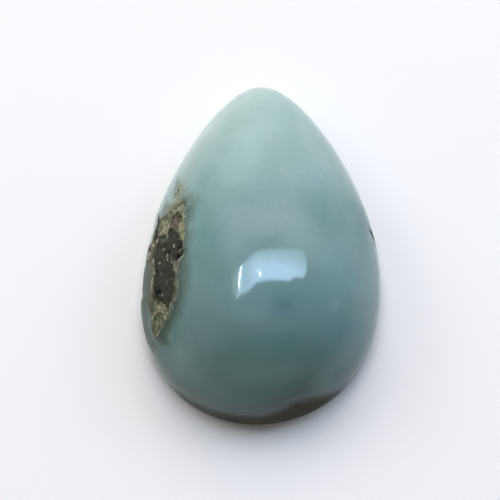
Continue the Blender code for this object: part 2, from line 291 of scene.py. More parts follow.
# Stained stone that is still polished, in the order of painting, as (tint, share, softness, outline)
STAINS = (
    (OLIVE_STAIN, 0.80, 0.60, (
        (4.94, 3.85), (4.3, 5.03), (3.16, 5.77), (2.38, 6.03), (2.21, 5.77), (2.16, 5.33), (2.66, 4.8),
        (3.35, 4.5), (3.93, 4.2),
    )),
    (HALO_STAIN, 0.95, 0.90, (
        (3.0, 5.3), (3.05, 6.05), (2.3, 6.4), (1.49, 6.48), (-0.46, 6.92), (-2.02, 7.02), (-3.63, 6.92), (-4.69, 6.72),
        (-5.52, 6.26), (-6.44, 5.61), (-7.3, 4.8), (-7.4, 4.0), (-6.9, 3.4), (-5.7, 3.9), (-3.9, 4.2), (-1.5, 4.1),
        (0.4, 3.2), (1.9, 4.0), (2.5, 4.9),
    )),
    (GREY_STAIN, 0.90, 0.55, (
        (3.32, 3.73), (2.79, 4.82), (2.04, 5.21), (1.35, 5.33), (1.54, 4.54), (1.88, 3.89), (2.54, 3.59),
    )),
    (BLUE_GREY_STAIN, 0.85, 1.10, (
        (-3.4, 2.2), (-4.1, 4.0), (-5.2, 4.1), (-6.1, 3.6), (-7.2, 3.9), (-7.9, 3.4), (-7.7, 2.5), (-6.9, 1.7),
        (-6.1, 1.1), (-5.1, 1.3), (-4.3, 0.9),
    )),
    (DARK_GREY_STAIN, 0.90, 0.80, (
        (-0.9, 2.9), (-1.0, 3.6), (-1.2, 4.4), (-2.4, 4.7), (-3.4, 4.6), (-4.1, 4.5), (-4.6, 3.9), (-4.7, 3.1),
        (-4.2, 2.4), (-3.5, 2.2), (-3.0, 1.4), (-2.4, 1.9), (-1.9, 1.7), (-1.4, 2.3),
    )),
    (MOTTLED_STAIN, 0.90, 0.20, (
        (-2.43, 6.44), (-2.35, 6.63), (-2.68, 6.84), (-3.63, 6.9), (-4.46, 6.78), (-5.08, 6.4), (-5.49, 5.94),
        (-5.27, 5.82), (-4.77, 6.15), (-4.38, 6.3), (-3.52, 6.4),
    )),
    (BOTTLE_STAIN, 0.85, 0.20, ((-4.55, 6.19), (-4.55, 6.57), (-5.3, 6.36), (-5.52, 5.98))),
)

# Bare rock, in the order of painting, as (tint, mottling, softness, outline)
ROCKS = (
    (OLIVE, 1.0, 0.16, ROCK_OUTLINE),
    (SPECK_OLIVE, 0.6, 0.30, SPECK_OUTLINE),
    (TIP_OLIVE, 1.0, 0.40, ((3.0, 4.9), (2.9, 5.4), (2.1, 6.2), (1.6, 6.1), (2.0, 5.4), (2.2, 4.8))),
    (YELLOW_OLIVE, 0.7, 0.20, (
        (2.32, 5.72), (2.1, 6.06), (1.49, 6.33), (0.71, 6.5), (-0.24, 6.66), (-0.71, 6.7), (-0.15, 6.49),
        (0.35, 6.27), (0.65, 6.06), (0.99, 5.92), (1.18, 5.98), (1.4, 6.06), (1.88, 5.89), (2.16, 5.64),
    )),
    (TAN, 1.0, 0.30, (
        (1.71, 3.9), (1.6, 4.87), (1.29, 5.26), (0.76, 5.43), (0.4, 5.33), (0.38, 4.85), (0.43, 4.37),
        (0.68, 4.16), (1.21, 4.16),
    )),
    (PINK_BEIGE, 1.0, 0.30, (
        (0.38, 4.33), (-0.24, 4.39), (-0.65, 4.34), (-1.0, 4.3), (-1.25, 4.1), (-1.2, 3.4), (-1.2, 2.8),
        (-0.88, 2.73), (-0.1, 2.52), (0.32, 2.97), (0.38, 3.72),
    )),
    (RUBBLE_TAN, 1.0, 0.25, (
        (-4.3, 4.5), (-4.38, 5.04), (-4.69, 5.43), (-5.05, 5.83), (-5.35, 5.91), (-5.66, 5.72), (-5.8, 5.42),
        (-5.63, 4.83), (-5.33, 4.41), (-4.8, 4.25),
    )),
    (DARK_OLIVE, 0.8, 0.25, (
        (-4.1, 4.03), (-4.27, 4.5), (-4.8, 4.56), (-5.19, 4.33), (-4.96, 3.99), (-4.49, 3.87),
    )),
    (TAIL_OLIVE, 0.9, 0.30, (
        (-5.13, 4.16), (-5.63, 4.83), (-5.8, 5.42), (-6.13, 5.12), (-6.49, 4.72), (-6.85, 4.11), (-6.85, 3.66),
        (-6.27, 3.68), (-5.66, 3.82),
    )),
    (CHARCOAL, 0.35, 0.14, CORE_OUTLINE),
    (SLATE, 0.8, 0.30, ((0.4, 4.51), (0.32, 5.35), (-0.07, 5.46), (-0.32, 4.98), (-0.29, 4.59))),
    (DARK_BROWN, 0.5, 0.20, (
        (1.90, 5.35), (1.85, 5.72), (1.65, 5.92), (1.27, 6.04), (1.1, 5.96), (0.6, 6.01), (0.71, 5.65),
        (1.07, 5.34), (1.63, 5.13), (1.85, 5.26),
    )),
    (BLOCK_TAN, 0.7, 0.14, ((-1.68, 6.23), (-1.74, 6.55), (-2.35, 6.61), (-2.38, 6.35), (-1.99, 6.23))),
    (GAP_BROWN, 0.4, 0.16, (
        (2.41, 3.3), (2.29, 3.2), (0.51, 3.5), (0.13, 3.75), (0.15, 4.01), (0.54, 4.2), (1.57, 3.95),
    )),
)
ROCK_GLOSS = 0.85
BAND_GLOSS = 0.95
PAINT_WOBBLE = 0.3
SOFT_EDGE_WOBBLE = 0.9  # how much further a soft edge wanders than a hard one
STAIN_MOTTLING = 0.25
MOTTLE_SIZE = 0.24
MOTTLE_STRENGTH = 0.55
GAP_SIZE = 0.30
GAP_START = 0.16
GAP_FADE = 0.20
GAP_SHARE = 0.80

# Camera
CAMERA_ELEVATION = 77.0
CAMERA_DISTANCE = 160.0
CAMERA_TARGET = (-0.83, 0.49)  # before the outline is centred
FOCAL_PIXELS = 2177.7
IMAGE_SIDE = 500.0
SENSOR = 36.0

# The window that mirrors in the dome, seen from below, and the bright slit and glints in it
PANEL_HEIGHT = 150.0
PANEL_LOW = (-70.0, -24.0)
PANEL_HIGH = (128.0, 72.0)
PANEL_STEP = 1.5
PANEL_OUTLINE = (
    (-47.0, -13.0), (-34.0, -13.0), (-18.0, -5.0), (-7.0, 3.0), (4.0, 5.0), (34.0, 6.5), (62.0, 6.0),
    (74.0, 12.0), (101.0, 13.5), (112.0, 24.0), (118.0, 44.0), (110.0, 60.0), (88.0, 61.0), (63.0, 56.0),
    (25.0, 53.0), (-12.0, 49.0), (-36.0, 37.0), (-48.0, 32.0),
)
PANEL_SOFTNESS = 6.0
PANEL_COLOUR = (0.53, 0.75, 1.04)
PANEL_STRENGTH = 15.6
PANEL_DIM_START = 22.0  # the window's upper part is dimmer
PANEL_DIM_FADE = 30.0
PANEL_DIM_SHARE = 0.64
PANEL_DIM_LEFT = -2.0
PANEL_LEFT_SHARE = 0.34
PANEL_DIM_RIGHT = 66.0
PANEL_RIGHT_SHARE = 0.18
SLIT_OUTLINE = (
    (-42.0, 30.5), (-45.9, 19.0), (-47.0, 9.5), (-46.6, 1.7), (-46.5, -5.0), (-44.2, -5.0), (-43.1, 1.7),
    (-42.8, 9.5), (-41.9, 17.5), (-40.4, 25.4), (-39.6, 31.0),
)
SLIT_SOFTNESS = 1.6
GLINTS = (
    (-1.8, 17.5, 2.2, 4.6, 0.7), (-8.0, 22.0, 3.0, 2.0, 0.22), (-47.6, -10.5, 2.2, 5.0, 0.30),
    (-50.0, 5.0, 16.0, 30.0, 0.06),
)
GLINT_COLOUR = (0.78, 0.94, 1.0)
GLINT_STRENGTH = 57.0

# Lamps, as (name, place, size, colour, strength), and the room's brightness
LAMPS = (
    ("back_low", (0.0, 460.0, 110.0), (320.0, 140.0), (1.0, 0.88, 0.72), 0.71),
    ("back_high", (0.0, 280.0, 300.0), (300.0, 200.0), (1.0, 0.88, 0.82), 3.90),
    ("left_back", (-280.0, 160.0, 260.0), (240.0, 200.0), (0.97, 0.97, 1.0), 2.96),
    ("right_back", (280.0, 160.0, 260.0), (240.0, 200.0), (0.61, 0.75, 1.0), 3.16),
    ("above", (0.0, 120.0, 360.0), (200.0, 160.0), (0.79, 0.88, 1.0), 5.03),
)
ROOM_HORIZON = 0.72
ROOM_BACK_GAIN = 0.18
ROOM_TOP = 0.10
ROOM_TOP_HEIGHT = 0.80
ROOM_CURVE = 0.6
FLOOR_SIDE = 1200.0
FLOOR_COLOUR = (0.94, 0.925, 0.915)


def taper(along):
    return 1.0 - NARROWING * along - ENDS_PINCH * along**2 - TIP_PINCH * along**3


def height_share(along):
    return 1.0 - APEX_SHIFT * along


def highest(curve):
    """The greatest value of a curve that falls to nothing at both ends of the stone."""
    places = np.linspace(-1.0, 1.0, CURVE_STEPS + 1)
    return float((np.sqrt(1.0 - places**2) * curve(places)).max())


WIDEST = highest(taper)
TALLEST = highest(height_share)


def on_outline(across, along):
    """Plan places for points of the unit disc."""
    x = 0.5 * WIDTH * across * taper(along) / WIDEST + LEAN * along - BOW * along**2
    return x, 0.5 * LENGTH * along


def on_dome(across, along, up):
    """The polished surface's points for points of the unit half sphere."""
    x, y = on_outline(across, along)
    z = GIRDLE_TOP + (HEIGHT - GIRDLE_TOP) * up * height_share(along) / TALLEST
    return np.stack([x, y, z], axis=-1)


def outline_middle():
    """The middle of the polished outline's width."""
    turn = np.arange(CURVE_STEPS) * math.tau / CURVE_STEPS
    sides = on_outline(np.sin(turn), np.cos(turn))[0]
    return 0.5 * float(sides.max() + sides.min())


def smooth_step(value, width):
    share = np.clip(value / width, 0.0, 1.0)
    return share * share * (3.0 - 2.0 * share)


def graded(start, end, plain, zones):
    """Places from start to end with a plain step, and with a finer one in each zone (middle, reach, step)."""
    places = np.linspace(start, end, GRADING_STEPS)
    density = np.full(GRADING_STEPS, 1.0 / plain)
    for middle, reach, step in zones:
        inside = 1.0 - smooth_step(np.abs(places - middle) - reach, GRADING_FADE)
        density = np.maximum(density, inside / step + (1.0 - inside) / plain)
    count = np.concatenate([[0.0], np.cumsum(0.5 * (density[1:] + density[:-1])) * (places[1] - places[0])])
    return np.interp(np.linspace(0.0, count[-1], int(round(count[-1])) + 1), count, places)


def depth_inside(outline, across, up):
    """Distance from points to the outline's nearest side, negative outside it."""
    nearest = np.full(across.shape, np.inf)
    inside = np.zeros(across.shape, bool)
    for start, end in zip(outline, outline[1:] + outline[:1]):
        run_a, run_u = end[0] - start[0], end[1] - start[1]
        share = ((across - start[0]) * run_a + (up - start[1]) * run_u) / (run_a**2 + run_u**2)
        share = np.clip(share, 0.0, 1.0)
        gap = np.hypot(across - start[0] - share * run_a, up - start[1] - share * run_u)
        nearest = np.minimum(nearest, gap)
        if run_u:
            crosses = (start[1] > up) != (end[1] > up)
            inside ^= crosses & (across < start[0] + run_a * (up - start[1]) / run_u)
    return np.where(inside, nearest, -nearest)


def lumps(points, size, falloff, step, layers, shift=0.0):
    """Fractal noise from about -1 to 1 at each point, for lumps of that size."""
    offset = Vector((0.0, 0.0, shift))
    return np.array([noise.fractal((Vector(point) + offset) / size, falloff, step, layers) for point in points])


def marks(places, wobble, shapes):
    """How strongly soft, ragged ellipses cover each place on the flank, from 0 to 1."""
    cover = np.zeros(len(places))
    for along, up, length, width, turn in shapes:
        cosine, sine = math.cos(math.radians(turn)), math.sin(math.radians(turn))
        run, rise = places[:, 0] - along, places[:, 1] - up
        reach = np.hypot((run * cosine + rise * sine) / length, (rise * cosine - run * sine) / width)
        cover = np.maximum(cover, smooth_step(1.3 + MARK_WOBBLE * wobble - reach, MARK_EDGE))
    return cover


def scattered(count, smallest, largest, seed):
    """Small round marks at random places within the core."""
    draw = np.random.default_rng(seed)
    low, high = np.min(CORE_OUTLINE, axis=0), np.max(CORE_OUTLINE, axis=0)
    found = []
    while len(found) < count:
        place = draw.uniform(low, high)
        size = draw.uniform(smallest, largest)
        stretch = draw.uniform(1.0, 2.2)
        turn = draw.uniform(0.0, 180.0)
        if depth_inside(CORE_OUTLINE, np.array([place[0]]), np.array([place[1]]))[0] > 0.1:
            found.append((place[0], place[1], size * stretch, size, turn))
    return tuple(found)


def paint(places, wobble, ragged, mottle, gaps, zones):
    """Zones painted over one another: their tint, how much of it shows and how mottled it is."""
    tint = np.zeros((len(places), 3))
    cover = np.zeros(len(places))
    grit = np.zeros(len(places))
    for zone_tint, share, mottling, softness, outline in zones:
        depth = depth_inside(outline, places[:, 0], places[:, 1]) + ragged + SOFT_EDGE_WOBBLE * softness * wobble
        mask = smooth_step(depth + 0.5 * softness, softness)
        shade = np.exp(MOTTLE_STRENGTH * mottling * mottle)[:, None]
        gap = (GAP_SHARE * mottling * gaps)[:, None]
        local = np.array(zone_tint) * shade * (1.0 - gap) + np.array(GAP_BROWN) * gap
        blend = np.where(cover > 0.0, mask, np.where(mask > 0.0, 1.0, 0.0))
        tint += (local - tint) * blend[:, None]
        grit += (mottling - grit) * mask
        cover = np.maximum(cover, share * mask)
    return tint, cover, grit


def flank_fields(points):
    """Relief depth and the looks of the left flank at each of its points."""
    along, up = points[:, 1], points[:, 2]
    places = points[:, 1:]
    wobble = EDGE_WOBBLE * lumps(points, LUMP_SIZE, LUMP_FALLOFF, LUMP_STEP, LUMP_LAYERS, WIDTH)
    ragged = PAINT_WOBBLE * wobble + FINE_WOBBLE * lumps(points, FINE_WOBBLE_SIZE, 1.0, 2.0, 2)
    coarse = lumps(points, LUMP_SIZE, LUMP_FALLOFF, LUMP_STEP, LUMP_LAYERS)
    grain = lumps(points, GRAIN_SIZE, 0.6, 2.0, GRAIN_LAYERS)
    speckle = lumps(points, MARK_WOBBLE_SIZE, 1.0, 2.0, 2, LENGTH)
    mottle = lumps(points, MOTTLE_SIZE, 0.7, 2.0, 3, 2.0 * LENGTH)
    gaps = smooth_step(lumps(points, GAP_SIZE, 0.8, 2.0, 2, 3.0 * LENGTH) - GAP_START, GAP_FADE)
    in_rock = depth_inside(ROCK_OUTLINE, along, up) + ragged
    in_core = depth_inside(CORE_OUTLINE, along, up) + ragged
    in_speck = depth_inside(SPECK_OUTLINE, along, up) + ragged
    broken = np.maximum(smooth_step(in_rock, LEDGE), smooth_step(in_speck, LEDGE))
    core = smooth_step(in_core, LEDGE)
    worn = smooth_step(along - WORN_START, WORN_START_FADE) * smooth_step(WORN_END - along, WORN_FADE)
    worn = worn * smooth_step(WORN_TOP - up, LEDGE)
    pits = np.zeros(len(points))
    for pit_along, pit_up, radius, deepest in PITS:
        reach = np.hypot(along - pit_along, up - pit_up) / radius
        pits = np.maximum(pits, deepest * np.clip(1.0 - reach**2, 0.0, None))
    hole = marks(places, speckle, HOLES)
    pale = marks(places, speckle, PALE_MARKS) * (1.0 - hole)
    small_pit = marks(places, speckle, scattered(SCATTERED_PITS, 0.04, 0.09, SCATTER_SEED))
    fleck = marks(places, speckle, scattered(SCATTERED_FLECKS, 0.03, 0.06, SCATTER_SEED + 1))
    depth = np.maximum(ROCK_DEPTH * broken, WORN_DEPTH * worn) + CORE_DEPTH * core
    calm = 1.0 - CORE_SMOOTHNESS * core
    depth += broken * (calm * (ROUGHNESS * coarse + GRAIN_DEPTH * grain) + 0.4 * pits)
    depth += broken * (HOLE_DEPTH * hole + 0.2 * HOLE_DEPTH * small_pit)
    depth -= np.maximum(broken, core) * CREST_HEIGHT * (pale + 0.4 * fleck)
    rocks = [(tint, 1.0, mottling, softness, outline) for tint, mottling, softness, outline in ROCKS]
    rock_tint, rock, grit = paint(places, 0.0 * wobble, ragged, mottle, gaps, rocks)
    stains = [(tint, share, STAIN_MOTTLING, softness, outline) for tint, share, softness, outline in STAINS]
    stain_tint, stain, _ = paint(places, wobble, 0.6 * ragged, mottle, 0.0 * gaps, stains)
    looks = {
        "rock": rock,
        "grit": grit,
        "stain": stain,
        "hole": np.clip(hole + 0.5 * small_pit, 0.0, 1.0),
        "pale": np.clip(0.8 * pale + 0.20 * fleck, 0.0, 1.0),
        "rust": marks(places, speckle, RUST_MARKS),
    }
    return np.clip(depth, -0.02, None), looks, {"rock_tint": rock_tint, "stain_tint": stain_tint}


def rim_fields(points):
    """Relief depth and the looks of the right side: the rim spot and the seam."""
    across, along, up = points.T
    wobble = EDGE_WOBBLE * lumps(points, LUMP_SIZE, LUMP_FALLOFF, LUMP_STEP, LUMP_LAYERS)
    ragged = wobble + FINE_WOBBLE * lumps(points, FINE_WOBBLE_SIZE, 1.0, 2.0, 2)
    narrow_end = np.where(along > 0.0, 1.0, 0.0)
    wide_end = 1.0 - narrow_end
    seam = narrow_end * smooth_step(depth_inside(SEAM_OUTLINE, along, up) + ragged, LEDGE)
    sliver = narrow_end * smooth_step(depth_inside(SEAM_SLIVER, along, up) + 0.5 * LEDGE, LEDGE)
    in_spot = depth_inside(RIM_SPOT_OUTLINE, across, up) + 0.5 * ragged
    spot = wide_end * smooth_step(in_spot + 0.3 * RIM_SPOT_EDGE, RIM_SPOT_EDGE)
    coarse = lumps(points, LUMP_SIZE, LUMP_FALLOFF, LUMP_STEP, LUMP_LAYERS)
    grain = lumps(points, GRAIN_SIZE, 0.6, 2.0, GRAIN_LAYERS)
    depth = SEAM_DEPTH * seam * (1.0 + coarse + 0.3 * grain)
    depth += RIM_SPOT_DEPTH * spot * (1.0 + 0.5 * coarse + 0.08 * grain)
    places = points[:, ::2]
    looks = {
        "spot": spot,
        "rock": sliver,
        "grit": 0.4 * sliver,
        "pale": 0.6 * wide_end * marks(places, coarse, BAND_PALE_MARKS),
        "hole": wide_end * marks(places, coarse, BAND_DARK_MARKS),
    }
    return np.clip(depth, 0.0, None), looks, {"rock_tint": np.outer(sliver > 0.0, SEAM_BROWN)}


LOOKS = ("rock", "grit", "stain", "hole", "pale", "rust", "band", "spot", "shade", *CLOUDS)
TINTS = ("rock_tint", "stain_tint")


def clouds(points, shapes, drift):
    """How strongly soft clouds cover each point, seen from above."""
    cover = np.zeros(len(points))
    for across, along, length, width, turn, strength in shapes:
        cosine, sine = math.cos(math.radians(turn)), math.sin(math.radians(turn))
        run, rise = points[:, 0] - across, points[:, 1] - along
        reach = np.hypot((run * cosine + rise * sine) / length, (rise * cosine - run * sine) / width)
        cover += strength * np.exp(-np.clip(reach + CLOUD_DRIFT * drift, 0.0, None) ** 2)
    return np.clip(cover, 0.0, 1.0)


def surface_fields(points):
    """Relief depth, looks and tints at each point of the dome and the wall."""
    depth = np.zeros(len(points))
    looks = {name: np.zeros(len(points)) for name in LOOKS}
    looks.update({name: np.zeros((len(points), 3)) for name in TINTS})
    left = (points[:, 0] < -3.0) & (np.abs(points[:, 1]) < 9.0)
    right = (points[:, 0] > 0.5) & (points[:, 2] < 5.0)
    for side, fields in ((left, flank_fields), (right, rim_fields)):
        side_depth, side_looks, side_tints = fields(points[side])
        depth[side] = side_depth
        for name, values in (*side_looks.items(), *side_tints.items()):
            looks[name][side] = values
    drift = lumps(points, CLOUD_DRIFT_SIZE, 1.0, 2.0, 2)
    for name, shapes in CLOUDS.items():
        looks[name] = clouds(points, shapes, drift)
    across, border = zip(*BAND_BORDER)
    below = np.interp(points[:, 0], across, border) - points[:, 2]
    below += BAND_WOBBLE * lumps(points, BAND_WOBBLE_SIZE, 1.0, 2.0, 2)
    # Brown edge at the wide end, the rock's own brown and partly painted shade
    wide_end = smooth_step(BAND_END - points[:, 1], BAND_END_FADE)
    looks["band"] = smooth_step(below + 0.5 * BAND_SOFTNESS, BAND_SOFTNESS) * wide_end
    looks["band"] *= 1.0 - BAND_LEFT_SHARE * smooth_step(BAND_LEFT - points[:, 0], BAND_LEFT_FADE)
    # Painted shade just above the brown edge, fainter towards the left and right and towards the narrow end
    faint = SHADE_LEFT_SHARE * smooth_step(SHADE_LEFT + SHADE_LEFT_FADE - points[:, 0], SHADE_LEFT_FADE)
    faint += SHADE_RIGHT_SHARE * smooth_step(points[:, 0] - SHADE_RIGHT, SHADE_RIGHT_FADE)
    looks["shade"] = smooth_step(below + SHADE_REACH, SHADE_REACH) * (1.0 - faint)
    looks["shade"] *= smooth_step(SHADE_END + SHADE_END_FADE - points[:, 1], SHADE_END_FADE)
    return depth, looks


def surface_normals(points):
    """Unit normals of a grid of points whose columns close into a ring."""
    around = np.roll(points, -1, axis=1) - np.roll(points, 1, axis=1)
    upwards = np.gradient(points, axis=0)
    normal = np.cross(around, upwards)
    return normal / np.maximum(np.linalg.norm(normal, axis=-1, keepdims=True), 1e-12)


def stone_mesh():
    """The fine surface of the stone with its looks as point attributes."""
    columns = np.radians(graded(0.0, 360.0, PLAIN_COLUMN, FINE_COLUMNS)[:-1])
    rows = np.radians(graded(0.0, 90.0, PLAIN_ROW, FINE_ROWS)[:-1])
    azimuth, elevation = np.meshgrid(columns, rows)
    unit = (np.cos(elevation) * np.cos(azimuth), np.cos(elevation) * np.sin(azimuth), np.sin(elevation))
    grid = on_dome(*unit)
    normals = surface_normals(grid)
    normals[0, :, 2] = 0.0
    normals[0] /= np.linalg.norm(normals[0], axis=-1, keepdims=True)
    flat = grid.reshape(-1, 3)
    depth, looks = surface_fields(flat)
    grid = grid - normals * depth.reshape(grid.shape[:2] + (1,))
    rim = grid[0]
    walls = [rim * (1.0, 1.0, 0.0) + (0.0, 0.0, height)
             for height in np.linspace(GIRDLE_TOP, BACK_BEVEL, WALL_ROWS + 1)[1:]]
    inwards = rim[:, :2] / np.linalg.norm(rim[:, :2], axis=1, keepdims=True) * BACK_BEVEL
    foot = np.concatenate([rim[:, :2] - inwards, np.zeros((len(columns), 1))], axis=1)
    below = np.array([foot] + walls[::-1])
    top = on_dome(0.0, 0.0, 1.0)[None]
    points = np.concatenate([below.reshape(-1, 3), grid.reshape(-1, 3), top])
    points[:, 0] -= outline_middle()
    below_looks = surface_fields(below.reshape(-1, 3))[1]
    top_looks = surface_fields(top)[1]
    attributes = {name: np.concatenate([below_looks[name], looks[name], top_looks[name]]) for name in looks}
    count, width = len(below) + len(rows), len(columns)
    row = np.arange(count - 1)[:, None] * width
    here = np.arange(width)
    after = (here + 1) % width
    quads = np.stack([row + here, row + after, row + width + after, row + width + here], axis=-1).reshape(-1, 4)
    last = (count - 1) * width
    fan = [(int(last + a), int(last + b), count * width) for a, b in zip(here, after)]
    back = [tuple(int(i) for i in here[::-1])]
    mesh = bpy.data.meshes.new("larimar_surface")
    mesh.from_pydata((points * MM).tolist(), [], quads.tolist() + fan + back)
    for name in LOOKS:
        mesh.attributes.new(name, "FLOAT", "POINT").data.foreach_set("value", attributes[name].astype(np.float32))
    for name in TINTS:
        tint = np.column_stack([attributes[name], np.ones(len(points))]).reshape(-1)
        mesh.attributes.new(name, "FLOAT_COLOR", "POINT").data.foreach_set("color", tint.astype(np.float32))
    mesh.shade_smooth()
    mesh.set_sharp_from_angle(angle=math.radians(40.0))
    return mesh


class Nodes:
    """Short calls for building a material's or the world's node tree."""

    def __init__(self, tree):
        self.tree = tree

    def add(self, kind, **settings):
        node = self.tree.nodes.new(kind)
        for name, value in settings.items():
            setattr(node, name, value)
        return node

    def link(self, value, socket):
        if isinstance(value, bpy.types.NodeSocket):
            self.tree.links.new(value, socket)
        else:
            socket.default_value = value

    def attribute(self, name, output="Fac"):
        return self.add("ShaderNodeAttribute", attribute_name=name).outputs[output]

    def mix(self, factor, first, second, blend="MIX"):
        node = self.add("ShaderNodeMix", data_type="RGBA", blend_type=blend)
        self.link(factor, node.inputs["Factor"])
        self.link(colour(first), node.inputs["A"])
        self.link(colour(second), node.inputs["B"])
        return node.outputs["Result"]

    def math(self, operation, first, second=0.0, clamp=False):
        node = self.add("ShaderNodeMath", operation=operation, use_clamp=clamp)
        self.link(first, node.inputs[0])
        self.link(second, node.inputs[1])
        return node.outputs["Value"]

    def noise(self, place, scale, detail=3.0, rough=0.5, distortion=0.0):
        node = self.add("ShaderNodeTexNoise")
        self.link(place, node.inputs["Vector"])
        for name, value in (("Scale", scale), ("Detail", detail), ("Roughness", rough), ("Distortion", distortion)):
            node.inputs[name].default_value = value
        return node.outputs["Fac"]

    def spread(self, value, low, high, to_low=0.0, to_high=1.0):
        node = self.add("ShaderNodeMapRange", clamp=True)
        self.link(value, node.inputs["Value"])
        for name, number in (("From Min", low), ("From Max", high), ("To Min", to_low), ("To Max", to_high)):
            self.link(number, node.inputs[name])
        return node.outputs["Result"]


def colour(value):
    return (*value, 1.0) if isinstance(value, tuple) and len(value) == 3 else value


def stone_material():
    """Polished larimar that turns into bare host rock where the point attributes say so."""
    material = bpy.data.materials.new("larimar_finish")
    material.use_nodes = True
    nodes = Nodes(material.node_tree)
    shader = material.node_tree.nodes["Principled BSDF"]
    place = nodes.add("ShaderNodeTexCoord").outputs["Object"]

    # The blue stone
    split = nodes.add("ShaderNodeSeparateXYZ")
    nodes.link(place, split.inputs["Vector"])
    drift = nodes.math("MULTIPLY", nodes.noise(place, 220.0, 3.0, 0.5, 0.6), 0.003)
    along = nodes.math("ADD", split.outputs["Y"], nodes.math("SUBTRACT", drift, 0.0015))
    # Stone colour along its length, darker towards the wide end partly as painted shade
    body = nodes.mix(nodes.spread(along, WIDE_END_PLACE * MM, 0.0), WIDE_END_TINT, MIDDLE_TINT)
    body = nodes.mix(nodes.spread(along, 0.0, NARROW_END_PLACE * MM), body, NARROW_END_TINT)
    # Soft clouds: the stone's own mottling, with painted light and painted shade along the rims
    for name, tint in CLOUD_TINTS.items():
        body = nodes.mix(nodes.attribute(name), body, tint, "MULTIPLY")
    # Painted shade above the brown edge, and half as much over the rim spot
    painted_shade = nodes.math("MAXIMUM", nodes.attribute("shade"), nodes.math("MULTIPLY", nodes.attribute("spot"), 0.5))
    body = nodes.mix(painted_shade, body, SHADE_TINT, "MULTIPLY")
    silk = nodes.noise(place, 700.0, 5.0, 0.70, 1.2)
    body = nodes.mix(nodes.spread(silk, 0.30, 0.70), body, (1.09, 1.07, 1.08), "MULTIPLY")
    wisps = nodes.noise(place, 330.0, 4.0, 0.6, 2.0)
    body = nodes.mix(nodes.spread(wisps, 0.35, 0.75, 0.0, 0.8), body, (0.90, 0.94, 0.95), "MULTIPLY")
    body = nodes.mix(nodes.attribute("stain"), body, nodes.attribute("stain_tint", "Color"))
    body = nodes.mix(nodes.math("MULTIPLY", nodes.attribute("pale"), 0.6), body, IVORY)

    # The bare rock
    grit = nodes.attribute("grit")
    grain = nodes.noise(place, 3600.0, 4.0, 0.65)
    rock = nodes.attribute("rock_tint", "Color")
    shaded = nodes.mix(1.0, rock, nodes.spread(grain, 0.30, 0.70, 0.55, 1.5), "MULTIPLY")
    rock = nodes.mix(grit, rock, shaded)
    specks = nodes.noise(place, 6500.0, 2.0, 0.5)
    pale_specks = nodes.math("MULTIPLY", nodes.spread(specks, 0.62, 0.70, 0.0, 0.6), grit)
    rock = nodes.mix(pale_specks, rock, IVORY)
    rock = nodes.mix(nodes.math("MULTIPLY", nodes.attribute("rust"), 0.6), rock, RUST)
    # Pale crystals and veins, partly painted highlights on their raised edges
    rock = nodes.mix(nodes.attribute("pale"), rock, IVORY)
    # Holes and pits: the rock's dark deepened by painted shade
    rock = nodes.mix(nodes.attribute("hole"), rock, PIT_BLACK_AND_SHADE)
    bare = nodes.attribute("rock")
    skin = nodes.mix(bare, body, rock)
    # The wide end's brown edge, its own brown deepened by painted shade
    skin = nodes.mix(nodes.attribute("band"), skin, BAND_BROWN)
    band_pale = nodes.math("MULTIPLY", nodes.attribute("band"), nodes.attribute("pale"))
    skin = nodes.mix(band_pale, skin, OLIVE)
    nodes.link(skin, shader.inputs["Base Color"])

    # Gloss
    smudge = nodes.noise(place, 500.0, 4.0, 0.6)
    polish = nodes.spread(smudge, 0.3, 0.7, 0.05, 0.08)
    matt = nodes.math("MAXIMUM", nodes.math("MAXIMUM", bare, nodes.attribute("band")), nodes.attribute("spot"))
    matt = nodes.math("MAXIMUM", matt, nodes.math("MULTIPLY", nodes.attribute("stain"), 0.7))
    gloss = nodes.add("ShaderNodeMix", data_type="FLOAT")
    nodes.link(matt, gloss.inputs["Factor"])
    nodes.link(polish, gloss.inputs["A"])
    bare_gloss = nodes.spread(nodes.attribute("band"), 0.0, 1.0, ROCK_GLOSS, BAND_GLOSS)
    nodes.link(bare_gloss, gloss.inputs["B"])
    nodes.link(gloss.outputs["Result"], shader.inputs["Roughness"])
    shader.inputs["IOR"].default_value = 1.6
    shader.inputs["Specular IOR Level"].default_value = 0.3
    shader.inputs["Subsurface Weight"].default_value = 0.15
    shader.inputs["Subsurface Radius"].default_value = (0.7, 1.0, 1.1)
    shader.inputs["Subsurface Scale"].default_value = 0.001

    # Grain of the rock and the faint ripple of the polish
    ripple = nodes.math("MULTIPLY", nodes.noise(place, 700.0, 2.0, 0.4), 0.02)
    rough = nodes.math("MULTIPLY", grain, bare)
    height = nodes.math("ADD", ripple, rough)
    bump = nodes.add("ShaderNodeBump")
    bump.inputs["Strength"].default_value = 0.5
    bump.inputs["Distance"].default_value = 0.00006
    nodes.link(height, bump.inputs["Height"])
    nodes.link(bump.outputs["Normal"], shader.inputs["Normal"])
    return material


def add_object(name, data):
    item = bpy.data.objects.new(name, data)
    bpy.context.scene.collection.objects.link(item)
    return item


def add_stone():
    stone = add_object("larimar_surface", stone_mesh())
    stone.data.materials.append(stone_material())
    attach(stone, "root")
    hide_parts("larimar_cabochon")


def plain_material(name, tint, roughness):
    material = bpy.data.materials.new(name)
    material.use_nodes = True
    shader = material.node_tree.nodes["Principled BSDF"]
    shader.inputs["Base Color"].default_value = colour(tint)
    shader.inputs["Roughness"].default_value = roughness
    return material


def add_floor():
    mesh = bpy.data.meshes.new("floor")
    side = 0.5 * FLOOR_SIDE * MM
    mesh.from_pydata([(-side, -side, 0.0), (side, -side, 0.0), (side, side, 0.0), (-side, side, 0.0)], [], [(0, 1, 2, 3)])
    floor = add_object("floor", mesh)
    mesh.materials.append(plain_material("paper", FLOOR_COLOUR, 0.9))
    floor.data.materials[0].node_tree.nodes["Principled BSDF"].inputs["Specular IOR Level"].default_value = 0.2


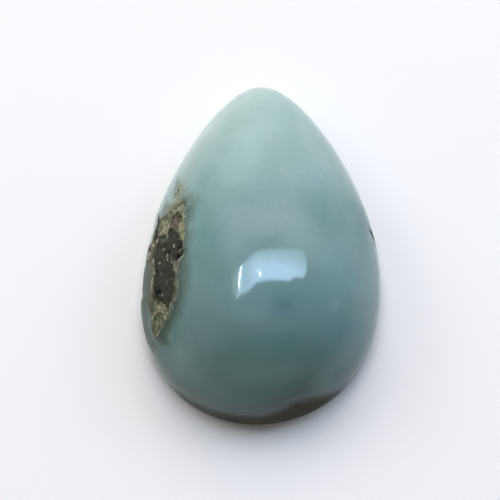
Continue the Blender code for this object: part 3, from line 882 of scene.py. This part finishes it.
def panel_glow(x, y):
    """Brightness of the mirrored window and of the glints in it at places on its plane."""
    window = smooth_step(depth_inside(PANEL_OUTLINE, x, y), PANEL_SOFTNESS)
    window *= 1.0 - PANEL_DIM_SHARE * smooth_step(y - PANEL_DIM_START, PANEL_DIM_FADE)
    window *= 1.0 - PANEL_LEFT_SHARE * smooth_step(PANEL_DIM_LEFT - x, PANEL_DIM_FADE)
    window *= 1.0 - PANEL_RIGHT_SHARE * smooth_step(x - PANEL_DIM_RIGHT, PANEL_DIM_FADE)
    glints = smooth_step(depth_inside(SLIT_OUTLINE, x, y), SLIT_SOFTNESS)
    for middle_x, middle_y, half_x, half_y, strength in GLINTS:
        reach = np.hypot((x - middle_x) / half_x, (y - middle_y) / half_y)
        glints = np.maximum(glints, strength * smooth_step(1.0 - reach, 0.6))
    return window, glints


def panel_material():
    """Light of the window added to whatever lies behind it."""
    material = bpy.data.materials.new("panel_glow")
    material.use_nodes = True
    nodes = Nodes(material.node_tree)
    nodes.tree.nodes.clear()
    total = nodes.add("ShaderNodeBsdfTransparent").outputs["BSDF"]
    for name, tint, strength in (("window", PANEL_COLOUR, PANEL_STRENGTH), ("glint", GLINT_COLOUR, GLINT_STRENGTH)):
        glow = nodes.add("ShaderNodeEmission")
        nodes.link(colour(tint), glow.inputs["Color"])
        nodes.link(nodes.math("MULTIPLY", nodes.attribute(name), strength), glow.inputs["Strength"])
        both = nodes.add("ShaderNodeAddShader")
        nodes.link(total, both.inputs[0])
        nodes.link(glow.outputs["Emission"], both.inputs[1])
        total = both.outputs["Shader"]
    nodes.link(total, nodes.add("ShaderNodeOutputMaterial").inputs["Surface"])
    return material


def add_panel():
    """The window whose mirror image lies on the dome."""
    x_count, y_count = (int(round((high - low) / PANEL_STEP)) + 1 for low, high in zip(PANEL_LOW, PANEL_HIGH))
    x, y = np.meshgrid(np.linspace(PANEL_LOW[0], PANEL_HIGH[0], x_count), np.linspace(PANEL_LOW[1], PANEL_HIGH[1], y_count))
    window, glints = panel_glow(x, y)
    points = np.stack([x, y, np.full(x.shape, PANEL_HEIGHT)], axis=-1).reshape(-1, 3)
    start = (np.arange(y_count - 1)[:, None] * x_count + np.arange(x_count - 1)).reshape(-1)
    quads = np.stack([start, start + 1, start + x_count + 1, start + x_count], axis=-1)
    mesh = bpy.data.meshes.new("panel")
    mesh.from_pydata((points * MM).tolist(), [], quads.tolist())
    for name, values in (("window", window), ("glint", glints)):
        mesh.attributes.new(name, "FLOAT", "POINT").data.foreach_set("value", values.reshape(-1).astype(np.float32))
    mesh.materials.append(panel_material())
    panel = add_object("panel", mesh)
    panel.visible_camera = False
    panel.visible_diffuse = False
    panel.visible_shadow = False


def add_area_light(name, place, size, colour_value, strength):
    """A soft lamp that looks at the stone. Strength is the light's radiance times pi."""
    data = bpy.data.lights.new(name, "AREA")
    data.shape = "RECTANGLE"
    data.size, data.size_y = (side * MM for side in size)
    data.color = colour_value
    data.energy = strength * math.pi * size[0] * size[1] * MM * MM
    lamp = add_object(name, data)
    lamp.location = [value * MM for value in place]
    lamp.rotation_euler = (-lamp.location).to_track_quat("-Z", "Y").to_euler()
    lamp.visible_glossy = False
    return lamp


def add_room():
    """Light from all around: bright near the horizon, brightest behind the stone, dim overhead."""
    world = bpy.data.worlds.new("room")
    world.use_nodes = True
    bpy.context.scene.world = world
    nodes = Nodes(world.node_tree)
    split = nodes.add("ShaderNodeSeparateXYZ")
    nodes.link(nodes.add("ShaderNodeTexCoord").outputs["Generated"], split.inputs["Vector"])
    horizon = nodes.spread(split.outputs["Y"], -1.0, 1.0, ROOM_HORIZON - ROOM_BACK_GAIN, ROOM_HORIZON + ROOM_BACK_GAIN)
    height = nodes.math("POWER", nodes.spread(split.outputs["Z"], 0.0, ROOM_TOP_HEIGHT), ROOM_CURVE)
    level = nodes.spread(height, 0.0, 1.0, horizon, ROOM_TOP)
    nodes.link(level, world.node_tree.nodes["Background"].inputs["Strength"])
    nodes.link((1.0, 1.0, 1.0, 1.0), world.node_tree.nodes["Background"].inputs["Color"])


def add_light():
    add_panel()
    for lamp in LAMPS:
        add_area_light(*lamp)
    add_room()


def add_camera():
    """The camera looks down on the stone, a little from its wide end."""
    data = bpy.data.cameras.new("camera")
    data.sensor_width = SENSOR
    data.lens = SENSOR * FOCAL_PIXELS / IMAGE_SIDE
    data.clip_start = 0.01
    camera = add_object("camera", data)
    tilt = math.radians(CAMERA_ELEVATION)
    target = Vector((CAMERA_TARGET[0] - outline_middle(), CAMERA_TARGET[1], 0.0))
    back = Vector((0.0, -math.cos(tilt), math.sin(tilt)))
    camera.location = (target + CAMERA_DISTANCE * back) * MM
    camera.rotation_euler = (0.5 * math.pi - tilt, 0.0, 0.0)
    bpy.context.scene.camera = camera


add_stone()
add_floor()
add_light()
add_camera()
bpy.context.scene.view_settings.view_transform = "Standard"
